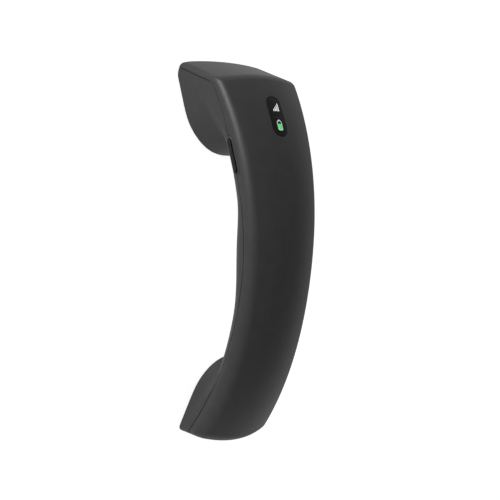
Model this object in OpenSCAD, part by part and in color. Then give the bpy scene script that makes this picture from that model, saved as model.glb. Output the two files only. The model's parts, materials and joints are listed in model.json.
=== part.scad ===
// Wireless telephone handset: two moulded shells round a receiver, a radio board and a battery.
// It lies on its two cups: +X runs to the mouth end, +Y across the handle, +Z up to the crowned back.

/* [Back] */
// Radius of the back's arc at the ear end
ear_radius = 141.5; // [130:0.5:155]
// Radius of the back's middle arc
mid_radius = 179.4; // [165:0.5:200]
// Radius of the back's arc at the mouth end
mouth_radius = 168; // [155:0.5:185]
// Slope of the back at the ear end
ear_angle = -34.7; // [-35.5:0.1:-34]
// Slope of the back where the ear arc meets the middle arc
ear_join_angle = -0.1; // [-2:0.1:2]
// Slope of the back where the middle arc meets the mouth arc
mouth_join_angle = 16.2; // [14:0.1:19]
// Slope of the back at the mouth end
mouth_angle = 39.8; // [39:0.1:40.5]
// Rise of the crowned back above its side edges
crown = 5.6; // [5:0.1:6.2]
// Radius of the back's side edges at the ear end
ear_edge_radius = 4.4; // [3.6:0.1:5.2]
// Radius of the back's side edges at the mouth end
mouth_edge_radius = 8.5; // [7:0.1:10]

/* [Width] */
// Width at the ear end
ear_width = 53.6; // [52:0.2:56]
// Width at the middle of the handle
mid_width = 43.8; // [42.8:0.2:46]
// Width at the mouth end
mouth_width = 46.6; // [45.6:0.2:49]
// How far the side walls lean in for each millimetre below the back
side_draft = 0.02; // [0.01:0.005:0.04]

/* [Ends] */
// Length of the flat of the ear end, from back to rim
ear_face = 41.8; // [41:0.1:43]
// Lean of the ear end from upright
ear_lean = 17.1; // [16:0.1:18.5]
// Slope of the ear cup's rim
ear_rim_slope = 14.9; // [14:0.1:16]
// Length of the flat of the mouth end, from back to rim
mouth_face = 23.6; // [23:0.1:24.4]
// Lean of the mouth end from upright
mouth_lean = -1.9; // [-3:0.1:0]
// Slope of the mouth cup's rim
mouth_rim_slope = 27.4; // [26.5:0.1:28.5]
// Radius of the end faces' edges
end_radius = 1.8; // [1.6:0.1:2.6]
// Bulge of the ear end, next to the back
ear_bulge = 5.6; // [4.8:0.1:6.2]
// Bulge of the mouth end, next to the back
mouth_bulge = 4.4; // [3.6:0.1:5]

/* [Handle and cups] */
// Depth of the handle below the back's side edges
belly = 18.5; // [18:0.1:19.5]
// How much deeper the handle is in the middle of the grip
belly_swell = 2.5; // [1.5:0.1:3]
// How far the grip side is crowned
belly_crown = 5.9; // [5.2:0.1:6.4]
// Radius of the grip side's edges
belly_radius = 5.6; // [4.8:0.1:6.4]
// Length of the ear cup along its rim
ear_cup = 53.7; // [53:0.1:56]
// Length of the mouth cup along its rim
mouth_cup = 51.5; // [50.5:0.1:53]
// Radius of the cups' rims
rim_radius = 2; // [1.6:0.1:2.4]
// Fillet between ear cup and handle
ear_fillet = 4; // [3:0.1:6]
// Fillet between mouth cup and handle
mouth_fillet = 4.2; // [3.2:0.1:6]
// Wall of both shells
wall = 2; // [1.8:0.1:2.4]

/* [Parting line] */
// Depth of the parting line at the ear end
seam_ear = 5; // [4.5:0.1:6]
// Depth of the parting line beside the volume key
seam_key = 8; // [7.5:0.1:9]
// Depth of the parting line at the middle of the handle
seam_mid = 4.6; // [4.2:0.1:6]
// Depth of the parting line at the mouth end
seam_mouth = 6; // [5:0.1:7]
// Width of the back shell's band down the ear end's sides
ear_band = 3; // [2.5:0.1:4]
// Gap between the two shells
seam_gap = 0.15; // [0.1:0.05:0.2]

/* [Status window] */
// Width of the window
window_w = 9; // [8:0.1:10]
// Length of the window
window_l = 23; // [21:0.2:25]
// Thickness of the window
window_t = 2.6; // [2.4:0.1:3]
// Distance of the window's centre from the ear end, along the back
window_at = 24.5; // [22:0.5:26]

/* [Volume key] */
// Length of the key
key_l = 18; // [16:0.2:19]
// Width of the key
key_w = 3; // [2.6:0.1:3.4]
// How far the key stands out of the side
key_proud = 0.9; // [0.6:0.1:1.2]
// Width of the frame's rim round the key
key_rim = 1.2; // [1:0.1:1.5]
// Slope of the back above the key, which sets the key's place
key_angle = -18; // [-18.6:0.1:-17.4]

/* [Ear cup parts] */
// Distance of the receiver's centre from the ear cup's tip
receiver_at = 27; // [26.5:0.1:27.5]
// Diameter of the receiver
receiver_d = 28; // [26:0.5:29]
// Diameter of the dish that the ear rests in
dish_d = 34; // [30:0.5:36]
// Depth of the dish
dish_depth = 2.2; // [1.8:0.1:2.4]
// Diameter of each sound hole
sound_hole_d = 1.8; // [1.4:0.1:2]
// Diameter of the ring of sound holes
sound_ring_d = 9; // [8:0.2:10]
// Sound holes in the ring
sound_holes = 8; // [6:1:9]

/* [Boards and battery] */
// Length of the radio board
board_l = 44; // [42:0.5:46]
// Width of the radio board
board_w = 27; // [25:0.5:29]
// Thickness of the boards
board_t = 1.2; // [1:0.1:1.4]
// Length of the battery
battery_l = 50; // [46:0.5:52]
// Width of the battery
battery_w = 28; // [26:0.5:30]
// Thickness of the battery
battery_t = 6; // [5:0.1:6.5]

/* [Hidden] */

$fn = 32;
tiny = 0.01;
reach = 90;

// Colours
shell_grey = [0.2, 0.2, 0.21];
key_black = [0.08, 0.08, 0.085];
board_green = [0.1, 0.35, 0.2];
metal = [0.75, 0.75, 0.77];
gold = [0.85, 0.68, 0.3];
foam_grey = [0.35, 0.35, 0.37];

// Back's side edge: three tangent arcs, drawn from the ear end's corner at the origin
function dir(a) = [sin(a), cos(a)];
ear_centre = -ear_radius * dir(ear_angle);
mid_centre = ear_centre + (ear_radius - mid_radius) * dir(ear_join_angle);
mouth_centre = mid_centre + (mid_radius - mouth_radius) * dir(mouth_join_angle);
function edge_point(a) =
    a < ear_join_angle ? ear_centre + ear_radius * dir(a) :
    a < mouth_join_angle ? mid_centre + mid_radius * dir(a) :
    mouth_centre + mouth_radius * dir(a);
mouth_corner = edge_point(mouth_angle);

// Depth below the side edge and slope of the edge above, for a point of the side view
function polar(p, c, r) = [r - norm(p - c), atan2(p.x - c.x, p.y - c.y)];
function below_edge(p) =
    let (ear = polar(p, ear_centre, ear_radius), mouth = polar(p, mouth_centre, mouth_radius))
    ear[1] < ear_join_angle ? ear :
    mouth[1] > mouth_join_angle ? mouth :
    polar(p, mid_centre, mid_radius);

// Half the width at the level of the side edge: a parabola through the three widths
function along(x) = 2 * x / mouth_corner.x - 1;
function half_width(x) =
    let (
        u = along(x),
        mean = (ear_width + mouth_width) / 2
    )
    (mid_width + u * (mouth_width - ear_width) / 2 + u * u * (mean - mid_width)) / 2;

// Rounded meeting and rounded joining of two surfaces, each given by the distance outside it
function meet(a, b, r) = min(-r, max(a, b)) + norm([max(a + r, 0), max(b + r, 0)]);
function join(a, b, r) = -meet(-a, -b, r);
function ease(low, high, v) = let (t = min(max((v - low) / (high - low), 0), 1)) t * t * (3 - 2 * t);

// Cup rims: the tip where rim and end face meet, and distances along and above each rim
ear_tip = -ear_face * dir(ear_lean);
mouth_tip = mouth_corner - mouth_face * dir(mouth_lean);
function ear_rim(p) =
    let (v = p - ear_tip)
    [v.x * cos(ear_rim_slope) + v.y * sin(ear_rim_slope), v.y * cos(ear_rim_slope) - v.x * sin(ear_rim_slope)];
function mouth_rim(p) =
    let (v = [mouth_tip.x - p.x, p.y - mouth_tip.y])
    [v.x * cos(mouth_rim_slope) + v.y * sin(mouth_rim_slope), v.y * cos(mouth_rim_slope) - v.x * sin(mouth_rim_slope)];

// Distance outside a cup's rounded inner end, whose outline is a superellipse
ear_power = 2.5;
mouth_power = 2.8;
cup_overwidth = 1.3;
function cup_end(rim, y, half, length, straight, draft, power) =
    let (
        half_length = length + draft * max(rim.y, 0) - straight,
        half_across = half + cup_overwidth,
        a = max(rim.x - straight, 0) / half_length,
        b = y / half_across,
        k = pow(pow(a, power) + pow(b, power) + tiny * tiny, 1 / power),
        rise_a = pow(a / k, power - 1) / half_length,
        rise_b = pow(b / k, power - 1) / half_across
    )
    (k - 1) / norm([rise_a, rise_b, tiny * tiny]);

ear_rim_bulge = 1.5;
ear_bulge_rise = 38;
mouth_bulge_rise = 18;
ear_straight = 11.3;
ear_end_draft = 0.14;
mouth_straight = 4.5;
mouth_end_draft = 0.2;
belly_fall = 1.5;
belly_fall_span = 40;
swell_angle = 2.6;
swell_span = 11.7;
function belly_at(slope) =
    let (near = 1 - ease(0, 1, abs(slope - swell_angle) / swell_span))
    belly - belly_fall * min(max(slope / belly_fall_span, -0.5), 0.7) + belly_swell * near;

// Distance outside the whole handset for a point of the design frame
function outside(x, y_signed, z) =
    let (
        y = abs(y_signed),
        below = below_edge([x, z]),
        half = half_width(x),
        share = y / half,
        round = 1 - share * share,
        top = (-below[0] - crown * round) / norm([1, 2 * crown * y / (half * half)]),
        side = y - half + side_draft * max(below[0], 0),
        grip = (below[0] - belly_at(below[1]) + belly_crown * (1 - round)) / norm([1, 2 * belly_crown * y / (half * half)]),
        er = ear_rim([x, z]),
        mr = mouth_rim([x, z]),
        ear = meet(-er.y, cup_end(er, y, half, ear_cup, ear_straight, ear_end_draft, ear_power), rim_radius),
        mouth = meet(-mr.y, cup_end(mr, y, half, mouth_cup, mouth_straight, mouth_end_draft, mouth_power), rim_radius),
        mouth_floor = -mr.y - reach * ease(mouth_cup, mouth_cup + mouth_fillet, mr.x),
        lower = meet(join(join(grip, ear, ear_fillet), mouth, mouth_fillet), mouth_floor, rim_radius),
        in_handle = ease(ear_cup * 0.6, ear_cup * 1.05, er.x) * ease(mouth_cup * 0.6, mouth_cup * 1.05, mr.x),
        edge_r = ear_edge_radius + (mouth_edge_radius - ear_edge_radius) * min(max((along(x) + 1) / 2, 0), 1),
        sides = meet(top, side, edge_r),
        tube = meet(sides, lower, rim_radius + (belly_radius - rim_radius) * in_handle),
        ear_out = z * sin(ear_lean) - x * cos(ear_lean) - blend(ear_rim_bulge, ear_bulge, min(max(er.y / ear_bulge_rise, 0), 1)) * round,
        mouth_out = (x - mouth_corner.x) * cos(mouth_lean) - (z - mouth_corner.y) * sin(mouth_lean)
            - mouth_bulge * min(max(mr.y / mouth_bulge_rise, 0), 1) * round
    )
    meet(meet(tube, ear_out, end_radius), mouth_out, end_radius);

// Point where a straight line from inside leaves the body, less an inset
root_steps = 16;
function root(start, line, inset, low = 0, high = reach, steps = root_steps) =
    let (
        mid = (low + high) / 2,
        p = start + line * mid
    )
    steps == 0 ? p :
    outside(p.x, p.y, p.z) < -inset ? root(start, line, inset, mid, high, steps - 1) :
    root(start, line, inset, low, mid, steps - 1);

// Section planes from end face to end face, tilted where they cross the cups' inner walls
outer_count = 56;
inner_count = 36;
spine_depth = 8.5;
end_step = 5;
end_steps = [0.8, 2.4];
ear_tilt = 46;
mouth_tilt = -40;
section_stops = [[0, 0], [0.32, 0.12], [0.44, 0.3], [0.58, 0.62], [0.7, 0.8], [1, 1]];
function blend(a, b, t) = a + (b - a) * t;
function fan_angle(u) =
    blend(-ear_lean, -mouth_lean, ease(0.3, 0.7, u))
    + ear_tilt * ease(0, 0.12, u) * (1 - ease(0.2, 0.5, u))
    + mouth_tilt * ease(0.5, 0.8, u) * (1 - ease(0.88, 1, u));

// Rays of a half section: fixed over the back, then gathered at the grip's corner and at the rim's corner
top_rays = [0, 16, 32, 46, 56, 63, 69, 75, 82];
grip_spread = 8;
rim_spread = 3;
plain_corner = 165;
narrowest = 4;
function rim_corner(foot, drop, length, straight, half, power) =
    foot > length ? plain_corner :
    let (
        share = max(foot - straight, 0) / (length - straight),
        across = (half + cup_overwidth) * pow(1 - pow(share, power), 1 / power)
    )
    180 - atan(max(min(across, half), narrowest) / drop);
function rays(grip, rim) =
    let (b = min(grip, rim - 2 * grip_spread), last_b = b + grip_spread, first_c = rim - rim_spread)
    concat(
        top_rays,
        [b - grip_spread, b],
        [for (k = [0:3]) blend(last_b, first_c, k / 4)],
        [first_c, rim],
        [for (k = [0:3]) blend(rim + rim_spread, 180, k / 3)]
    );
ray_count = len(rays(plain_corner - 60, plain_corner)) - 1;
function mirrored(half) = concat(half, [for (k = [ray_count - 1:-1:1]) [half[k].x, -half[k].y, half[k].z]]);
function ring(u, inset, step) =
    let (
        slope = ear_angle + (mouth_angle - ear_angle) * u,
        edge = edge_point(slope),
        fan = fan_angle(u),
        down = [sin(fan), 0, -cos(fan)],
        forward = [cos(fan), 0, sin(fan)],
        middle = [edge.x, 0, edge.y] + down * spine_depth + forward * step * (1 - 2 * u),
        half = half_width(middle.x),
        at_ear = u < 0.5,
        place = [middle.x, middle.z],
        start = at_ear ? ear_rim(place) : mouth_rim(place),
        step = (at_ear ? ear_rim(place + [down.x, down.z]) : mouth_rim(place + [down.x, down.z])) - start,
        drop = -start.y / step.y,
        foot = start.x + drop * step.x,
        rim = at_ear ? rim_corner(foot, drop, ear_cup, ear_straight, half, ear_power) :
            rim_corner(foot, drop, mouth_cup, mouth_straight, half, mouth_power),
        grip = 90 + atan((belly_at(slope) - belly_crown - spine_depth) / cos(fan + slope) / half),
        points = [for (a = rays(grip, rim)) root(middle, [0, sin(a), 0] - down * cos(a), inset)]
    )
    mirrored(points);

// Rings over the two end faces, shot straight out from a flat copy of the last section
cap_shares = [0.985, 0.95, 0.88, 0.7, 0.4];
function centre(points) = (points[0] + points[ray_count]) / 2;
function cap_ring(points, share, line, inset) =
    let (c = centre(points))
    mirrored([for (k = [0:ray_count]) root(c + (points[k] - c) * share, line, inset)]);
function skin_rings(inset, count) =
    let (
        rings = concat(
            [for (t = end_steps) ring(0, inset, t + inset)],
            [for (k = [0:count - 1]) ring(lookup(k / (count - 1), section_stops), inset, end_step + inset)],
            [for (k = [1:len(end_steps)]) ring(1, inset, end_steps[len(end_steps) - k] + inset)]
        ),
        last = rings[len(rings) - 1],
        ear_line = [-cos(ear_lean), 0, sin(ear_lean)],
        mouth_line = [cos(mouth_lean), 0, -sin(mouth_lean)],
        shares = len(cap_shares)
    )
    concat(
        [for (k = [shares - 1:-1:0]) cap_ring(rings[0], cap_shares[k], ear_line, inset)],
        rings,
        [for (k = [0:shares - 1]) cap_ring(last, cap_shares[k], mouth_line, inset)]
    );

// Closed solid through the rings, with a pole at each end
module loft(rings) {
    size = len(rings[0]);
    last = len(rings) - 1;
    points = concat([for (r = rings) each r], [centre(rings[0]), centre(rings[last])]);
    pole = size * (last + 1);
    sides = [
        for (i = [0:last - 1])
        for (k = [0:size - 1])
        let (
            a = i * size + k,
            b = i * size + (k + 1) % size
        )
        each [[a, b, a + size], [b, b + size, a + size]]
    ];
    ear_cap = [for (k = [0:size - 1]) [pole, (k + 1) % size, k]];
    mouth_cap = [for (k = [0:size - 1]) [pole + 1, last * size + k, last * size + (k + 1) % size]];
    polyhedron(points, concat(sides, ear_cap, mouth_cap), convexity = 8);
}

rim_cut = 0.05;
module skin(inset) {
    difference() {
        loft(inset == 0 ? outer_rings : skin_rings(inset, inner_count));
        at_ear_rim(ear_cup / 2) slab(ear_cup + 2 * end_step, 2 * reach, -reach, rim_cut + inset);
        at_mouth_rim(mouth_cup / 2) slab(mouth_cup + 2 * end_step, 2 * reach, -reach, rim_cut + inset);
    }
}

// The handset is set down on its cups, centred along its length
outer_rings = skin_rings(0, outer_count);
function column(k) = [for (r = outer_rings) for (p = r) p[k]];
rest_shift = [-(min(column(0)) + max(column(0))) / 2, 0, -min(column(2)) - rim_cut];

// Local frames: on the back's side edge, on each cup's rim, and on the wall at the volume key
module at_back(slope) {
    edge = edge_point(slope);
    translate([edge.x, 0, edge.y]) rotate([0, slope, 0]) children();
}

module at_ear_rim(distance) {
    translate([ear_tip.x, 0, ear_tip.y]) rotate([0, -ear_rim_slope, 0]) translate([distance, 0, 0]) children();
}

module at_mouth_rim(distance) {
    translate([mouth_tip.x, 0, mouth_tip.y]) rotate([0, mouth_rim_slope, 0]) translate([-distance, 0, 0]) children();
}

// Places on the rims where a cradle's seats meet them
ear_mount_at = 47;
mouth_mount_at = 19;

key_place = edge_point(key_angle) - seam_key * dir(key_angle);
key_side = half_width(key_place.x) - side_draft * seam_key;
key_yaw = atan(half_width(key_place.x - 0.5) - half_width(key_place.x + 0.5));
module at_key() {
    translate([key_place.x, -key_side, key_place.y])
        rotate([0, key_angle, 0])
            rotate([0, 0, key_yaw])
                rotate([atan(side_draft), 0, 0])
                    children();
}

// Flat outline with two round ends, and a solid of an outline between two levels
module pill(l, w) {
    square([l - w, w], center = true);
    for (side = [-1, 1]) {
        translate([side * (l - w) / 2, 0]) circle(d = w);
    }
}

module between(low, high) {
    translate([0, 0, low]) linear_extrude(high - low) children();
}

module inward(low, high) {
    translate([0, high, 0]) rotate([90, 0, 0]) linear_extrude(high - low) children();
}

module slab(l, w, low, high) {
    between(low, high) square([l, w], center = true);
}

module rod(r, low, high) {
    translate([0, 0, low]) cylinder(r = r, h = high - low);
}

// Parting line: what lies above it, and outside the band of the ear end, is the back shell
seam_mid_angle = 4.3;
seam_steps = 28;
seam_overrun = 5;
function seam_depth(a) =
    a < key_angle ? blend(seam_ear, seam_key, ease(ear_angle, key_angle, a)) :
    a < seam_mid_angle ? blend(seam_key, seam_mid, ease(key_angle, seam_mid_angle, a)) :
    blend(seam_mid, seam_mouth, ease(seam_mid_angle, mouth_angle, a));
function seam_line(gap) = [
    for (k = [0:seam_steps])
    let (a = blend(ear_angle - seam_overrun, mouth_angle + seam_overrun, k / seam_steps))
    edge_point(a) - (seam_depth(a) + gap) * dir(a)
];
module back_region(gap) {
    band_in = (ear_band + gap) * [cos(ear_lean), -sin(ear_lean)];
    inward(-reach, reach) {
        polygon(concat(seam_line(gap), [[2 * reach + mouth_corner.x, reach], [-2 * reach, reach]]));
        polygon([
            band_in + ear_band * dir(ear_lean),
            band_in - 2 * ear_face * dir(ear_lean),
            [-2 * reach, -2 * reach],
            [-2 * reach, reach]
        ]);
    }
}

// Fits
slide_gap = 0.1;
key_gap = 0.3;
key_swing_gap = 0.42;

// Screws: two in the ear cup and two in the mouth cup, each sunk in a boss below a post
ear_screw = [45, 10];
mouth_screw = [24, 13.5];
screw_r = 1.25;
screw_l = 10;
head_r = 2.5;
head_h = 1.8;
head_seat = 5;
boss_h = 8;
boss_r = 3.4;
post_r = 2.4;
plug_h = 2.6;
module each_screw() {
    for (side = [-1, 1]) {
        at_ear_rim(ear_screw.x) translate([0, side * ear_screw.y, 0]) children();
        at_mouth_rim(mouth_screw.x) translate([0, side * mouth_screw.y, 0]) children();
    }
}

// Status window: its place on the back and the levels of the parts under it
window_angle = ear_angle + window_at / ear_radius * 180 / PI;
window_sink = 0.1;
window_low = crown - window_t;
frame_top = crown - wall - 1.2;
frame_t = 1.5;
frame_low = frame_top - frame_t;
frame_rim = 2.4;
module_t = 1.2;

// Volume key: levels inward from the wall's face
frame_proud = 0.2;
frame_depth = wall + 0.8;
key_stop = frame_depth + key_swing_gap;
key_flange_t = 0.8;
key_back = key_stop + key_flange_t;
pivot_r = 0.5;
pivot_in = key_back + 0.9;
key_board_in = pivot_in + pivot_r + 0.05;
key_board_l = 27;
key_board_w = 6;
switch_at = 6.5;
switch_gap = 0.35;
slot_l = key_l + 2 * key_gap + 2 * key_rim;
slot_w = key_w + 2 * key_gap + 2 * key_rim;
key_rib_w = 1.5;

// Receiver: levels above the ear cup's rim
plate_top = wall + dish_depth;
dish_steps = 10;
mesh_t = 0.3;
mesh_r = sound_ring_d / 2 + 2.5;
gasket_t = 1.2;
gasket_w = 2.5;
basket_h = 4;
basket_wall = 1;
basket_low = plate_top + gasket_t;
basket_top = basket_low + basket_h;
magnet_r = 8;
magnet_h = 3.5;
holder_wall = 1.4;

// Boards and battery: slopes of the back above them and levels below the side edges
board_angle = -9;
board_low = -6.6;
battery_angle = 12.5;
battery_low = -9;
pad_t = 0.8;
rib_t = 1.5;
shield_size = [17, 16, 2.2];
shield_at = -9;
antenna_size = [4, 22, 2.6];
socket_size = [5, 8, 3];
end_margin = 3.5;

// Mouth cup parts: distances from the tip and levels above the rim
microphone_at = 13;
microphone_r = 3;
microphone_h = 2.4;
boot_wall = 1.2;
boot_floor = 0.8;
mic_hole_r = 0.7;
magnet_at = 24;
cradle_magnet_r = 4.5;
cradle_magnet_h = 3;
contact_at = 35;
contact_y = 5;
contact_size = [5, 3.2];
contact_h = 4;
contact_sink = 0.2;
contact_board_size = [9, 17];

module window_outline(margin) {
    pill(window_l + 2 * margin, window_w + 2 * margin);
}

module back_posts() {
    each_screw() rod(post_r, boss_h, reach);
    at_back(board_angle) {
        for (end = [-1, 1]) {
            for (side = [-1, 1]) {
                translate([end * (board_l / 2 - end_margin), side * (board_w / 2 - end_margin), 0])
                    rod(post_r / 2, board_low + board_t, reach);
            }
        }
    }
    at_back(battery_angle) {
        for (end = [-1, 1]) {
            translate([end * battery_l / 4, 0, 0]) slab(rib_t, battery_w * 0.6, battery_low + battery_t, reach);
        }
    }
}

module back_shell() {
    color(shell_grey) translate(rest_shift) difference() {
        intersection() {
            skin(0);
            union() {
                back_region(0);
                back_posts();
            }
        }
        difference() {
            skin(wall);
            back_posts();
        }
        at_back(window_angle) between(frame_low, reach) window_outline(slide_gap);
        at_key() inward(-reach / 4, key_board_in) pill(slot_l + 2 * slide_gap, slot_w + 2 * slide_gap);
        each_screw() rod(screw_r + slide_gap / 2, boss_h - 1, head_seat + screw_l + 1);
    }
}

module front_ribs() {
    each_screw() rod(boss_r, 0, boss_h);
    at_ear_rim(receiver_at) {
        rod(dish_d / 2, 0, plate_top);
        rod(receiver_d / 2 + holder_wall, 0, basket_top);
    }
    at_mouth_rim(microphone_at) rod(microphone_r + boot_wall + holder_wall, 0, wall + microphone_h);
    at_mouth_rim(magnet_at) rod(cradle_magnet_r + holder_wall, 0, wall + cradle_magnet_h);
    at_mouth_rim(contact_at) {
        for (end = [-1, 1]) {
            translate([end * (contact_board_size.x / 2 - rib_t / 2), 0, 0])
                slab(rib_t, contact_board_size.y, 0, contact_h + contact_sink);
        }
    }
    at_back(board_angle) {
        for (end = [-1, 1]) {
            translate([end * (board_l / 2 - end_margin), 0, 0]) slab(rib_t, board_w, -reach / 2, board_low);
        }
    }
    at_back(battery_angle) {
        for (end = [-1, 1]) {
            translate([end * battery_l / 4, 0, 0]) slab(rib_t, battery_w, -reach / 2, battery_low - pad_t);
        }
    }
    at_key() {
        for (end = [-1, 1]) {
            translate([end * (key_board_l / 2 - key_rib_w / 2), 0, -key_board_w / 4 - seam_gap])
                inward(0, key_board_in) square([key_rib_w, key_board_w / 2], center = true);
        }
    }
}

// Shallow round dish below z = 0, as a turned arc
module dish(d, depth) {
    r = (d * d / 4 + depth * depth) / (2 * depth);
    turn = asin(d / 2 / r);
    arc = [for (k = [0:dish_steps]) let (a = turn * k / dish_steps) [r * sin(a), depth - r + r * cos(a)]];
    rotate_extrude() polygon(concat(arc, [[d / 2, -1], [0, -1]]));
}

module front_shell() {
    color(shell_grey) translate(rest_shift) difference() {
        skin(0);
        back_region(seam_gap);
        difference() {
            skin(wall);
            front_ribs();
        }
        at_key() inward(-reach / 4, key_back) pill(slot_l + 2 * slide_gap, slot_w + 2 * slide_gap);
        at_ear_rim(receiver_at) {
            dish(dish_d, dish_depth);
            rod(receiver_d / 2 + slide_gap, plate_top, basket_top + 1);
            rod(sound_hole_d / 2, -1, plate_top + 1);
            for (k = [1:sound_holes]) {
                rotate([0, 0, k * 360 / sound_holes])
                    translate([sound_ring_d / 2, 0, 0])
                        rod(sound_hole_d / 2, -1, plate_top + 1);
            }
        }
        at_mouth_rim(microphone_at) {
            rod(microphone_r + boot_wall + slide_gap, wall, wall + microphone_h + 1);
            rod(mic_hole_r, -1, wall + 1);
        }
        at_mouth_rim(magnet_at) rod(cradle_magnet_r + slide_gap, wall, wall + cradle_magnet_h + 1);
        at_mouth_rim(contact_at) {
            for (side = [-1, 1]) {
                translate([0, side * contact_y, 0])
                    slab(contact_size.x + 2 * slide_gap, contact_size.y + 2 * slide_gap, -1, contact_h + 1);
            }
        }
        each_screw() {
            rod(screw_r + 2 * slide_gap, -1, boss_h + 1);
            rod(head_r + slide_gap, -1, head_seat);
        }
    }
}

module display_window() {
    color(key_black) translate(rest_shift) at_back(window_angle) intersection() {
        between(window_low, crown + 1) window_outline(0);
        translate([0, reach / 2, -ear_radius])
            rotate([90, 0, 0])
                cylinder(r = ear_radius + crown - window_sink, h = reach, $fn = 720);
    }
}

module display_frame() {
    color(foam_grey) translate(rest_shift) at_back(window_angle) difference() {
        union() {
            between(frame_low, frame_top) window_outline(frame_rim);
            between(frame_low, window_low) window_outline(-slide_gap);
        }
        between(frame_low - 1, window_low + 1) window_outline(-window_w / 6);
    }
}

module display_module() {
    color(board_green) translate(rest_shift) at_back(window_angle)
        slab(window_l, window_w + 1, frame_low - module_t, frame_low);
}

module volume_key() {
    color(key_black) translate(rest_shift) at_key() {
        inward(-key_proud, key_back) pill(key_l, key_w);
        inward(key_stop, key_back) pill(key_l + 2 * key_rim, key_w + key_rim);
        translate([0, pivot_in, -key_w / 2]) cylinder(r = pivot_r, h = key_w);
        inward(key_back - 0.2, pivot_in) square([2 * pivot_r, key_w], center = true);
    }
}

module key_frame() {
    color(shell_grey) translate(rest_shift) at_key() difference() {
        inward(-frame_proud, frame_depth) pill(slot_l, slot_w);
        inward(-frame_proud - 1, frame_depth + 1) pill(key_l + 2 * key_gap, key_w + 2 * key_gap);
    }
}

module key_board() {
    color(board_green) translate(rest_shift) at_key()
        inward(key_board_in, key_board_in + board_t) square([key_board_l, key_board_w], center = true);
}

module key_switch(side) {
    color(metal) translate(rest_shift) at_key() translate([side * switch_at, 0, 0]) {
        inward(key_board_in - 0.7, key_board_in) square([3.4, 3], center = true);
        inward(key_back + switch_gap, key_board_in - 0.6) circle(r = 0.7);
    }
}

module key_switch_up() {
    key_switch(-1);
}

module key_switch_down() {
    key_switch(1);
}

module ear_mesh() {
    color(foam_grey) translate(rest_shift) at_ear_rim(receiver_at) rod(mesh_r, plate_top, plate_top + mesh_t);
}

module receiver_gasket() {
    color(foam_grey) translate(rest_shift) at_ear_rim(receiver_at) difference() {
        rod(receiver_d / 2, plate_top, basket_low);
        rod(receiver_d / 2 - gasket_w, plate_top - 1, basket_low + 1);
    }
}

module receiver_basket() {
    color(key_black) translate(rest_shift) at_ear_rim(receiver_at) difference() {
        rod(receiver_d / 2, basket_low, basket_top);
        rod(receiver_d / 2 - basket_wall, basket_low - 1, basket_top - basket_wall);
        rod(magnet_r + slide_gap, basket_low, basket_top + 1);
    }
}

module receiver_cone() {
    cone_r = receiver_d / 2 - basket_wall - slide_gap;
    dome_r = magnet_r * 0.7;
    color(foam_grey) translate(rest_shift) at_ear_rim(receiver_at) translate([0, 0, basket_low]) rotate_extrude()
        polygon([
            [0, 1.4], [dome_r, 0.9], [cone_r - 2, 0.3], [cone_r, 0.3],
            [cone_r, 0], [cone_r - 2.1, 0], [dome_r, 0.6], [0, 1.1]
        ]);
}

module receiver_magnet() {
    color(metal) translate(rest_shift) at_ear_rim(receiver_at) {
        rod(magnet_r, basket_top - basket_wall, basket_top + magnet_h);
        rod(magnet_r + 1, basket_top, basket_top + 1);
    }
}

module microphone_boot() {
    color(key_black) translate(rest_shift) at_mouth_rim(microphone_at) difference() {
        rod(microphone_r + boot_wall, wall, wall + boot_floor + microphone_h);
        rod(microphone_r + slide_gap / 2, wall + boot_floor, wall + boot_floor + microphone_h + 1);
        rod(mic_hole_r, wall - 1, wall + 2);
    }
}

module microphone() {
    color(metal) translate(rest_shift) at_mouth_rim(microphone_at)
        rod(microphone_r, wall + boot_floor, wall + boot_floor + microphone_h);
}

module main_board() {
    color(board_green) translate(rest_shift) at_back(board_angle) slab(board_l, board_w, board_low, board_low + board_t);
}

module on_board(x, size) {
    top = board_low + board_t;
    color(metal) translate(rest_shift) at_back(board_angle)
        translate([x, 0, 0]) slab(size.x, size.y, top, top + size.z);
}

module radio_shield() {
    on_board(0, shield_size);
}

module antenna() {
    on_board(-board_l / 2 + antenna_size.x / 2 + 6, antenna_size);
}

module battery_socket() {
    on_board(board_l / 2 - socket_size.x / 2 - 1, socket_size);
}

module battery_pack() {
    color(metal) translate(rest_shift) at_back(battery_angle)
        slab(battery_l, battery_w, battery_low, battery_low + battery_t);
}

module battery_pad() {
    color(foam_grey) translate(rest_shift) at_back(battery_angle)
        slab(battery_l * 0.8, battery_w * 0.8, battery_low - pad_t, battery_low);
}

module charge_contact(side) {
    color(gold) translate(rest_shift) at_mouth_rim(contact_at) translate([0, side * contact_y, 0])
        slab(contact_size.x, contact_size.y, contact_sink, contact_h + contact_sink);
}

module charge_contact_near() {
    charge_contact(-1);
}

module charge_contact_far() {
    charge_contact(1);
}

module contact_board() {
    low = contact_h + contact_sink;
    color(board_green) translate(rest_shift) at_mouth_rim(contact_at)
        slab(contact_board_size.x, contact_board_size.y, low, low + board_t);
}

module cradle_magnet() {
    color(metal) translate(rest_shift) at_mouth_rim(magnet_at) rod(cradle_magnet_r, wall, wall + cradle_magnet_h);
}

module shell_screws() {
    color(metal) translate(rest_shift) each_screw() {
        rod(head_r, head_seat - head_h, head_seat);
        rod(screw_r, head_seat - head_h, head_seat + screw_l);
    }
}

module screw_plugs() {
    low = head_seat - head_h - plug_h;
    color(key_black) translate(rest_shift) each_screw() rod(head_r, low, head_seat - head_h);
}

back_shell();
front_shell();
display_window();
display_module();
display_frame();
volume_key();
key_frame();
key_board();
key_switch_up();
key_switch_down();
receiver_basket();
receiver_cone();
receiver_magnet();
receiver_gasket();
ear_mesh();
microphone();
microphone_boot();
main_board();
radio_shield();
antenna();
battery_socket();
battery_pack();
battery_pad();
charge_contact_near();
charge_contact_far();
contact_board();
cradle_magnet();
shell_screws();
screw_plugs();
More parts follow.
